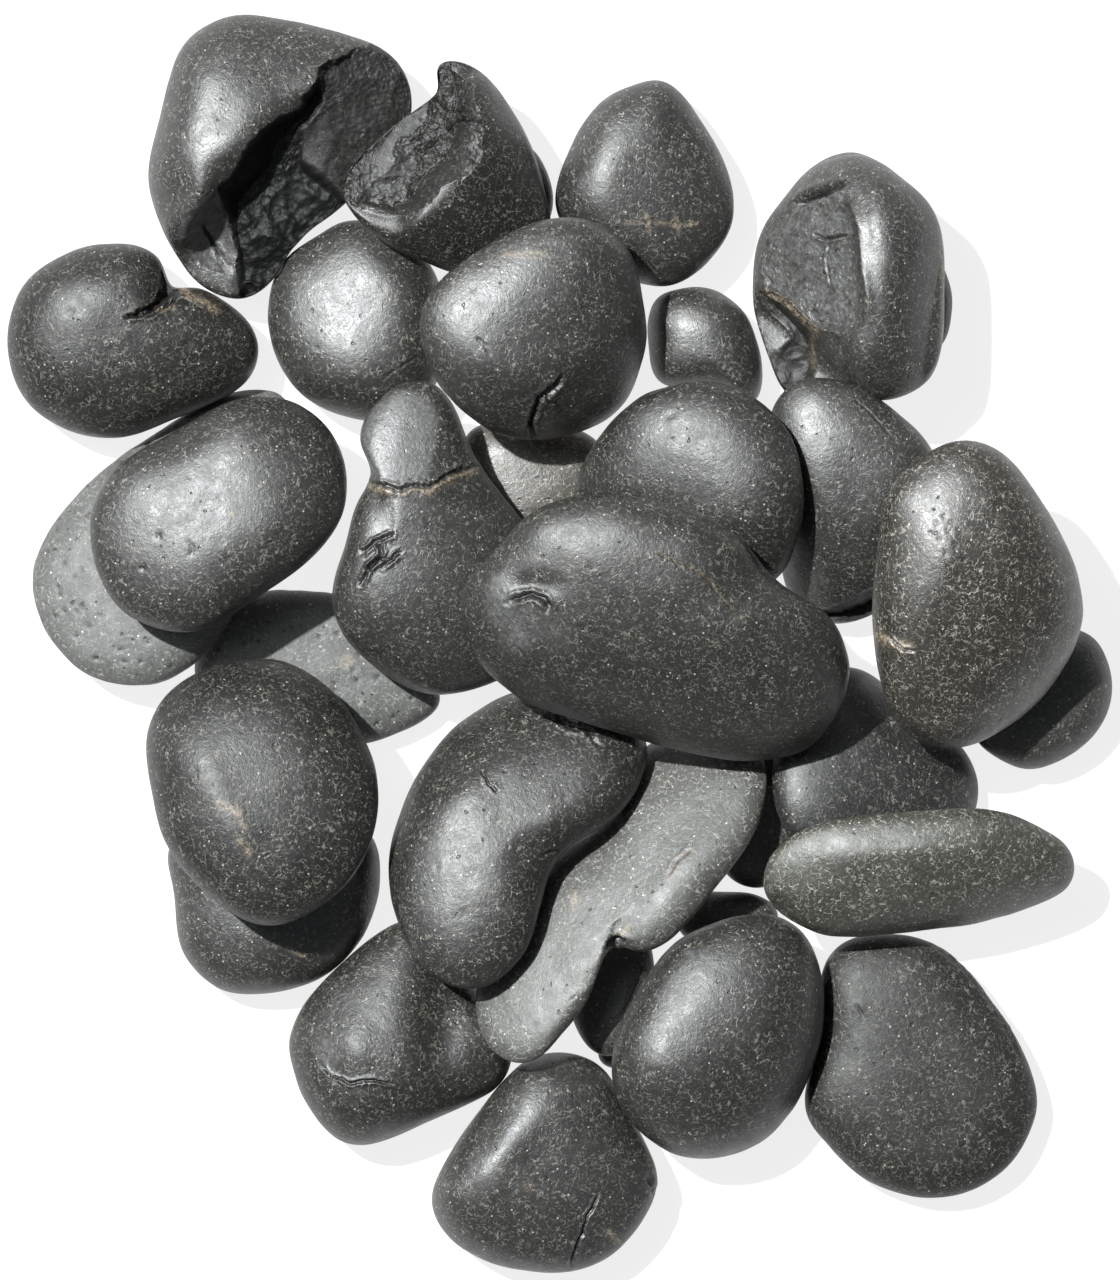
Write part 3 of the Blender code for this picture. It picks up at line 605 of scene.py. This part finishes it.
crack(skin, [(2, -14.5), (-1, -12.4), (-4, -15)], width=0.9, depth=1.4, lip=0.5, dark=0.8)
pits(skin, [(-20, -20), (-14, -30), (12, 18), (24, 28), (-26, -38), (4, 2)], width=0.6, depth=0.5)
skin.finish()

bar = dict(node="bar_stone", name="bar", finish="olive", seed=23, fine=[([(-40, -10)], 6, 1)])
skin = Skin(bar)
uneven(skin, amount=0.35, size=14)
sheenAt(skin, (0, 4), most=0.45, soft=5)
ridge(skin, [(-34, 4), (-14, 7), (10, 8), (30, 5)], width=4.5, height=0.7, taper=3)
breakAway(skin, [(-46, -8), (-42, -5), (-37, -9.5), (-34, -15), (-40, -20), (-48, -14)], plane=(3.0, 0.35, 0.3),
          wall=0.8, bowls=[(5, 0.5)], fine=0.08, rough=0.25)
pits(skin, [(-20, 0), (4, -6), (22, 3), (-6, 9)], width=0.6, depth=0.5)
skin.finish()

shard = dict(node="hooked_shard_stone", name="hooked_shard", finish="dark", seed=22, tint=0.75, shine=0.6,
             face=[(1, 36), (1.6, 30.5), (7, 26.7), (9.4, 19.2), (12.1, 13.2), (10.9, 7.2), (10, 2.7), (5.5, -1.8),
                   (-2, -4.8), (-4.4, -9.3), (-8, -11.4), (-15.5, -13.2), (-24.5, -10.8), (-32, -9), (-38, -2),
                   (-24, 16), (-10, 26), (-10, 38)])
shard["fineInside"] = [(shard["face"], 2, 2)]
skin = Skin(shard)
uneven(skin, amount=0.3)
lower(skin, (4, 4), way=(0.75, -0.66), reach=30, share=0.6)
breakAway(skin, shard["face"], plane=(6.9, -0.05, -0.12), wall=0.9, bowls=[(13, 2.6), (5.5, 1.3), (2.2, 0.5)],
          fine=0.25, keep=3, rough=0.0)
paint(skin, "broken", shard["face"], strength=0.5, soft=1.0, patchy=1.0)
paint(skin, "worn", [(-30, -2), (-24, 6), (-12, 14), (-8, 4), (-12, -8), (-24, -9)], strength=0.4, soft=3, patchy=1.6)
crack(skin, [(-0.5, 11.7), (2, 14.6), (4.6, 15.6), (8, 15.4), (11.5, 13.8)], width=0.5, depth=1.1, lip=0.4)
crack(skin, [(-3, 22), (0, 18.5), (4, 18), (6, 21)], width=0.4, depth=0.8, lip=0.3)
ridge(skin, [(-26, -9.2), (-20, -11.4), (-15.5, -12.4)], width=0.9, height=0.9)
# painted highlight along the crest of the ridge above
paint(skin, "worn", [(-26.5, -8.6), (-20, -10.6), (-15, -11.6), (-15, -13.4), (-21, -12.6), (-27, -10.6)],
      strength=0.35, soft=0.6, patchy=0.6)
skin.finish()

notchedOval = dict(node="notched_oval_stone", name="notched_oval", finish="dark", seed=21, tint=0.8, shine=0.55,
                   notch=[(9, 27), (17, 17.6), (13, 12.6), (8.6, 9.4), (3.5, 7.2), (-0.6, 6.9), (1.6, 8.8),
                          (6.6, 11.4), (8.2, 15), (7.4, 20)],
                   bite=[(14, 18), (19, 18.5), (25.5, 12), (26, 8.4), (20, 8.6), (15, 11.5), (10.5, 9.6)])
notchedOval["fine"] = [(notchedOval["notch"], 4, 2), (notchedOval["bite"], 3, 1)]
skin = Skin(notchedOval)
uneven(skin, amount=0.35)
sheenAt(skin, (-18, 10), most=0.25, soft=6)
breakAway(skin, notchedOval["bite"], plane=(12.2, -0.1, -0.1), wall=1.0, bowls=[(4, 0.7)], fine=0.15, rough=0.2)
breakAway(skin, notchedOval["notch"], plane=(3.0, 0, 0), wall=2.2, bowls=[(3, 0.8)], fine=0.15)
crack(skin, [(8, 10), (3.5, 7.3), (-1.6, 6.6)], width=0.6, depth=1.6, lip=0.3)
crack(skin, [(14, 13), (10, 9.4), (4, 6.4)], width=0.5, depth=0.9, lip=0.4, dark=0.5)
stain(skin, [(14.6, 16), (17, 13), (21, 11.6), (25.1, 8.9)], width=1.0, strength=1.0)
stain(skin, [(8, 8.4), (12, 9.6)], width=0.8, strength=0.8)
pits(skin, [(17, -1.3), (-6.4, -3.4), (-18, 8)], width=0.8, depth=0.8)
skin.finish()

triangle = dict(node="rounded_triangle_stone", name="rounded_triangle", finish="dark", seed=20,
                fine=[([(-5.5, -12.3), (15.5, -12.3)], 3, 1)])
skin = Skin(triangle)
uneven(skin, amount=0.3)
sheenAt(skin, (-11, 4), most=0.45)
ridge(skin, [(-12, 16), (-13, 2), (-11, -12)], width=7, height=0.7, taper=2)
for route in ([(-5.5, -12.3), (2, -11.8), (9, -12.8), (15.5, -12.3)], [(0, -9), (1.5, -15)],
              [(9, -10.5), (10.5, -15.5)]):
    stain(skin, route, width=0.5, strength=0.9)
    crack(skin, route, width=0.3, depth=0.3, lip=0.1, dark=0.3)
skin.finish()

roundDome = dict(node="round_dome_stone", name="round_dome", finish="dark", seed=19, tint=1.1,
                 fine=[([(7.6, -17.2), (20.5, -9.4)], 2.5, 1)])
skin = Skin(roundDome)
uneven(skin, amount=0.35)
sheenAt(skin, (-1, 3), most=0.5)
dent(skin, (0, 2), reach=(15, 15), depth=2.0)
crack(skin, [(7.6, -17.2), (14, -13), (20.5, -9.4)], width=0.35, depth=0.35, lip=0.15, dark=0.4)
# painted highlight: the top is lightened where the dome's broad sheen lies
paint(skin, "worn", [(-12, 12), (2, 16), (12, 6), (8, -8), (-6, -10), (-14, 0)], strength=0.35, soft=8, patchy=0.8)
pits(skin, [(-6, 6), (3, 2), (0, -6), (8, 10), (-12, -8)], width=0.6, depth=0.5)
skin.finish()

fractured = dict(node="large_fractured_stone", name="large_fractured", finish="dark", seed=18, tint=1.05,
                 edge=[(30, 40), (26, 33), (22.5, 32.2), (12, 26.2), (9.6, 20.2), (6.9, 17.2), (6, 14.2), (0, 11.2),
                       (-4.5, 8.2), (-9.6, 2.2), (-12, -2.3), (-15, -6.8), (-18.6, -9.8), (-24, -13.7),
                       (-28.5, -16.4), (-30.5, -24.8)])
fractured["face"] = fractured["edge"][:-3] + [(-16, -19), (-13, -29), (-15, -38), (-12, -50), (10, -50), (48, -10),
                                              (48, 40)]
fractured["flake"] = [(-18.6, -9.8), (-24, -13.7), (-28.5, -16.4), (-31, -24), (-26, -32), (-14, -36), (-12.5, -28),
                      (-15.5, -19)]
fractured["black"] = [(12.5, 25.5), (9.6, 20.2), (6.9, 17.2), (6, 14.2), (0, 11.2), (-4.5, 8.2), (-9.6, 2.2),
                      (-12, -2.3),
                      (-15, -6.8), (-18.6, -9.8), (-15, -19), (-13, -30), (-12, -48), (14, -42), (22, -14), (14, -6),
                      (7, -1), (8, 8), (13, 16)]
fractured["fineInside"] = [(fractured["face"], 1.5, 2), (fractured["flake"], 1.5, 2)]
skin = Skin(fractured)
uneven(skin, amount=0.35)
sheenAt(skin, (-21, 2), most=0.45)
ridge(skin, [(-26, 26), (-26, 6), (-22, -10)], width=8, height=0.8, taper=2)
breakAway(skin, fractured["face"], plane=(9.0, -0.3, 0.1), wall=2.2, bowls=[(17, 1.4), (6, 0.6), (2.2, 0.25)],
          fine=0.2, rough=0.8)
breakAway(skin, fractured["black"], plane=(1.6, 0.0, 0.13), wall=1.1, bowls=[(9, 1.7), (4, 1.0), (1.9, 0.4)],
          fine=0.2, rough=1.0)
paint(skin, "broken", fractured["face"], strength=0.9, soft=0.8, patchy=0.3)
# the black hollow: dark broken rock (broken), with painted shadow over it (gap)
paint(skin, "broken", fractured["black"], strength=1.2, soft=0.8, patchy=0.1)
paint(skin, "gap", fractured["black"], strength=1.1, soft=2.0, patchy=0.5)
breakAway(skin, fractured["flake"], plane=(-8, 0, 0), wall=0.4, bowls=[(5, 1.6), (2.2, 0.6)], fine=0.15, rough=0.3)
paint(skin, "worn", fractured["flake"], strength=0.7, soft=1.2, patchy=1.0)
paint(skin, "worn", [(1.5, -1), (6, -2.4), (12, -6), (10, -8.6), (4, -6.4)], strength=0.45, soft=1, patchy=1.2)
crack(skin, [(-23.1, -20.3), (-21, -24), (-17.4, -30.2)], width=0.6, depth=1.0, lip=0.4)
skin.finish()

wedge = dict(node="wedge_stone", name="wedge", finish="dark", seed=17, tint=1.1,
             fine=[([(0, 30.2), (12, 18.2)], 2.5, 1), ([(-12, -31), (-6.9, -34.6), (6, -26.8)], 5, 1)])
skin = Skin(wedge)
uneven(skin, amount=0.35)
sheenAt(skin, (-9, -4), most=0.5)
ridge(skin, [(-12, 22), (-11, 8), (-9, -12), (-10, -26)], width=7, height=0.9, taper=2)
crack(skin, [(0, 30.2), (6, 25), (12, 18.2)], width=0.3, depth=0.3, lip=0.1, dark=0.4)
breakAway(skin, [(-9, -40), (-9, -32.6), (-4, -31), (2, -27.6), (7, -25.4), (12, -30), (6, -40)], plane=(-9, 0, 0.1),
          wall=2.2, bowls=[(5, 1.0)], fine=0.15)
# painted highlight: lighter patch on the lower left, where the sheen falls
paint(skin, "worn", [(-16, -20), (-10, -16), (-4, -24), (-8, -31), (-15, -29)], strength=0.35, soft=4, patchy=1.2)
skin.finish()

ridged = dict(node="ridged_chipped_stone", name="ridged_chipped", finish="dark", seed=16, tint=1.1,
              face=[(-1.4, 26.6), (1.9, 14.2), (2.8, 2.2), (4.6, -6.8), (4, -15.8), (-3, -17.5), (-10.4, -15.8),
                    (-14, -12.2), (-18.5, -7.7), (-24.8, -3.8), (-27.5, 4), (-26, 14), (-17, 22), (-8, 24)],
              chip=[(-30, -5), (-24.8, -3.8), (-18.5, -7.7), (-14, -12.2), (-10.4, -15.8), (-9, -24), (-11, -34),
                    (-20, -42), (-36, -30)],
              flap=[(-15.8, 20.6), (-12, 23.4), (-6, 25.2), (-1.4, 27.7)])
ridged["fineInside"] = [(ridged["face"], 2, 2), (ridged["chip"], 1.5, 1)]
skin = Skin(ridged)
uneven(skin, amount=0.35)
lower(skin, (4, 0), way=(1, -0.15), reach=22, share=0.55)
breakAway(skin, ridged["face"], plane=(14.6, 0.8, 0.02), wall=1.7, bowls=[(15, 2.0), (6, 0.6), (2.4, 0.2)], fine=0.12,
          keep=3, rough=0.0, ragged=0.4)
breakAway(skin, ridged["chip"], plane=(-6.2, 0.12, 0.12), wall=2.0, bowls=[(7, 1.4), (3, 0.6)], fine=0.2, keep=3,
          rough=0.8)
paint(skin, "worn", ridged["face"], strength=0.5, soft=2.5, patchy=1.4)
crack(skin, ridged["flap"], width=1.1, depth=2.4, lip=0.7, dark=1.0, wander=0.6)
crack(skin, [(-10.4, 12.1), (-7, 11), (-0.5, 11.8)], width=0.45, depth=0.8, lip=0.3)
crack(skin, [(-6, 11.4), (-7, 4), (-5.4, -4)], width=0.3, depth=0.4, lip=0.2, dark=0.5)
crack(skin, [(-24.8, -3.8), (-18.5, -7.7), (-14, -12.2), (-10.4, -15.8)], width=0.5, depth=0.5, lip=0.5, dark=0.4)
stain(skin, [(-24.8, -4.4), (-18.5, -8.2), (-14, -12.8), (-10.4, -16.4)], width=1.0, strength=0.8)
stain(skin, [(27.4, 11.2), (28, -4), (27.6, -20.3)], width=0.7, strength=0.7)
stain(skin, [(-11, -18), (-10.4, -27)], width=0.7, strength=0.6)
ridge(skin, [(-0.6, 25), (3, 14), (4, 2), (5.6, -7), (5, -15)], width=1.2, height=1.0)
skin.finish()

saddle = dict(node="saddle_stone", name="saddle", finish="dark", seed=15, tint=0.85, shine=0.7,
              fine=[([(-21, -11.8), (-15, -14.8), (-1.5, -14.8)], 3, 2)])
skin = Skin(saddle)
uneven(skin, amount=0.35)
sheenAt(skin, (-11, -6), most=0.5)
dent(skin, (12, 4), reach=(6, 15), depth=2.2)
ridge(skin, [(-20, -9), (-14, -4), (-8, 4)], width=7, height=1.3, taper=2)
crack(skin, [(-24, -8), (-21, -11.8), (-15, -14.4), (-8, -13.6), (-1.5, -14.8)], width=0.4, depth=0.7, lip=0.35)
paint(skin, "worn", [(-27, -1), (-20, 1), (-17, -8), (-20, -14), (-25, -10)], strength=0.5, soft=2.5, patchy=1.2)
pits(skin, [(-8, -4), (-4, 12), (-14, -20), (6, -18)], width=0.6, depth=0.5)
skin.finish()

pear = dict(node="cracked_pear_stone", name="cracked_pear", finish="dark", seed=14,
            split=[(16.4, -8.8), (14.6, -13), (12.5, -16.3), (11.4, -21), (9.5, -25.3), (7.4, -31.3)])
pear["fine"] = [(pear["split"], 3.5, 2), ([(32, -5), (32.6, -10)], 3, 1)]
skin = Skin(pear)
uneven(skin, amount=0.3)
sheenAt(skin, (-10, 7), most=0.45)
ridge(skin, [(1, 20), (-8, 10), (-15, 0), (-19, -10)], width=5.5, height=1.1, taper=2)
crack(skin, pear["split"], width=0.45, depth=0.9, lip=0.25)
crack(skin, [(31, -4), (32.4, -7), (32.8, -10.5)], width=0.7, depth=0.9, lip=0.2)
stain(skin, [(-4.9, -6.4)], width=0.9, strength=1.0)
stain(skin, [(19, -20), (23, -24)], width=0.8, strength=0.7)
skin.finish()

disc = dict(node="flat_disc_stone", name="flat_disc", finish="matteDark", seed=13, tint=0.85, shine=0.5,
            fine=[([(-20.1, 18.3), (-17.4, 14.7)], 2.5, 1), ([(6, 35), (18, 22), (28, 8)], 2, 1)])
skin = Skin(disc)
uneven(skin, amount=0.35)
sheenAt(skin, (-25, 20), most=0.25, soft=6)
crack(skin, [(-20.1, 18.3), (-18.4, 17), (-17.4, 14.7)], width=0.4, depth=0.5, lip=0.15)
crack(skin, [(4, 36), (12, 29.5), (19, 21), (25, 11.5), (29.5, 2)], width=0.5, depth=0.35, lip=0.25, dark=0.5)
pits(skin, [(4, 4), (14, -18), (-10, -24), (-22, -8), (8, 22)], width=0.6, depth=0.5)
skin.finish()

under = dict(node="lower_oval_stone", name="lower_oval", finish="dark", seed=12,
             fine=[([(-4, -10), (2, -14)], 3, 1)])
skin = Skin(under)
uneven(skin, amount=0.35)
stain(skin, [(6, -14), (8, -16)], width=0.6, strength=0.9)
pits(skin, [(-10, -12), (12, -10), (20, -4)], width=0.6, depth=0.5)
skin.finish()

pitted = dict(node="pitted_grey_stone", name="pitted_grey", finish="pale", seed=11, levels=4, tint=0.82)
skin = Skin(pitted)
uneven(skin, amount=0.4, size=13, fine=0.12)
draw = random.Random(11)
pits(skin, [(draw.uniform(-36, 20), draw.uniform(-42, 40)) for spot in range(90)], width=0.7, depth=0.55)
skin.finish()

slab = dict(node="pale_slab_stone", name="pale_slab", finish="pale", seed=10, tint=0.8, levels=4)
skin = Skin(slab)
uneven(skin, amount=0.4, size=12, fine=0.1)
stain(skin, [(7, 2.2), (9, 3.4), (10.4, 1.8), (8.4, 0.4), (7, 2.2)], width=0.6, strength=1.0)
draw = random.Random(10)
pits(skin, [(draw.uniform(-30, 32), draw.uniform(-20, 16)) for spot in range(40)], width=0.7, depth=0.5)
skin.finish()

others = dict(  # lower stones and those seen only in part: finish, tint, unevenness
    dark_triangle_stone=("matteDark", 0.35, 0.4), small_round_stone=("matteDark", 1.1, 0.3),
    small_side_stone=("dark", 1.15, 0.3), brown_wedge_stone=("brown", 1.9, 0.4),
    shaded_small_stone=("matteDark", 0.9, 0.3), shaded_round_stone=("matteDark", 0.9, 0.3),
    shaded_long_stone=("matteDark", 0.9, 0.3), tiny_stone=("dark", 1.0, 0.15),
    sliver_stone_under_ridge=("dark", 1.0, 0.25), sliver_stone_under_hook=("dark", 1.0, 0.25),
)
for order, (node, (finish, tint, amount)) in enumerate(others.items()):
    skin = Skin(dict(node=node, name=node.replace("_stone", ""), finish=finish, tint=tint, seed=order))
    uneven(skin, amount=amount)
    skin.finish()


# floor, light and camera

studio = dict(floor=6.0, floorBase=(0.22, 0.22, 0.22, 1), floorRoughness=0.9, floorGlow=0.82,
              sun=6.2, sunColour=(0.965, 0.99, 1.0), sunAngle=1.6, sunRise=59, sunFrom=139, sunAway=2,
              soft=5.0, softColour=(0.90, 0.95, 1.0), softSize=0.7, softAway=1.4, sky=0.14,
              skyColour=(0.86, 0.93, 1.0, 1),
              frameHeight=384, frameShift=1.2, cameraHeight=5.0, sensor=36.0, seenTo=50)

body = bmesh.new()
bmesh.ops.create_grid(body, x_segments=1, y_segments=1, size=studio["floor"] / 2)
floorMesh = bpy.data.meshes.new("floor")
body.to_mesh(floorMesh)
body.free()
floor = bpy.data.objects.new("floor", floorMesh)
bpy.context.scene.collection.objects.link(floor)
floorMaterial = bpy.data.materials.new("floor")
floorMaterial.use_nodes = True
floorShader = floorMaterial.node_tree.nodes["Principled BSDF"]
floorShader.inputs["Base Color"].default_value = studio["floorBase"]
floorShader.inputs["Roughness"].default_value = studio["floorRoughness"]
floorShader.inputs["Emission Color"].default_value = (1, 1, 1, 1)
floorShader.inputs["Emission Strength"].default_value = studio["floorGlow"]
floorMesh.materials.append(floorMaterial)

sunLight = bpy.data.lights.new("key", "SUN")
sunLight.energy = studio["sun"]
sunLight.angle = math.radians(studio["sunAngle"])
sunLight.color = studio["sunColour"]
sun = bpy.data.objects.new("key", sunLight)
rise, heading = math.radians(studio["sunRise"]), math.radians(studio["sunFrom"])
toSun = Vector((math.cos(rise) * math.cos(heading), math.cos(rise) * math.sin(heading), math.sin(rise)))
sun.rotation_euler = toSun.to_track_quat("Z", "Y").to_euler()
sun.location = toSun * studio["sunAway"]
bpy.context.scene.collection.objects.link(sun)

softLight = bpy.data.lights.new("softbox", "AREA")
softLight.energy = studio["soft"]
softLight.size = studio["softSize"]
softLight.color = studio["softColour"]
softbox = bpy.data.objects.new("softbox", softLight)
softbox.location = toSun * studio["softAway"]
softbox.rotation_euler = sun.rotation_euler
bpy.context.scene.collection.objects.link(softbox)

world = bpy.data.worlds.new("studio")
world.use_nodes = True
sky = world.node_tree.nodes["Background"]
sky.inputs["Color"].default_value = studio["skyColour"]
sky.inputs["Strength"].default_value = studio["sky"]
bpy.context.scene.world = world

lens = bpy.data.cameras.new("above")
lens.sensor_fit = "VERTICAL"
lens.sensor_height = studio["sensor"]
lens.lens = studio["sensor"] * studio["cameraHeight"] / (studio["frameHeight"] * mm)
lens.clip_end = studio["seenTo"]
camera = bpy.data.objects.new("above", lens)
camera.location = (0, studio["frameShift"] * mm, studio["cameraHeight"])
bpy.context.scene.collection.objects.link(camera)
bpy.context.scene.camera = camera
bpy.context.scene.view_settings.view_transform = "Standard"
print("floor, lights and camera set")
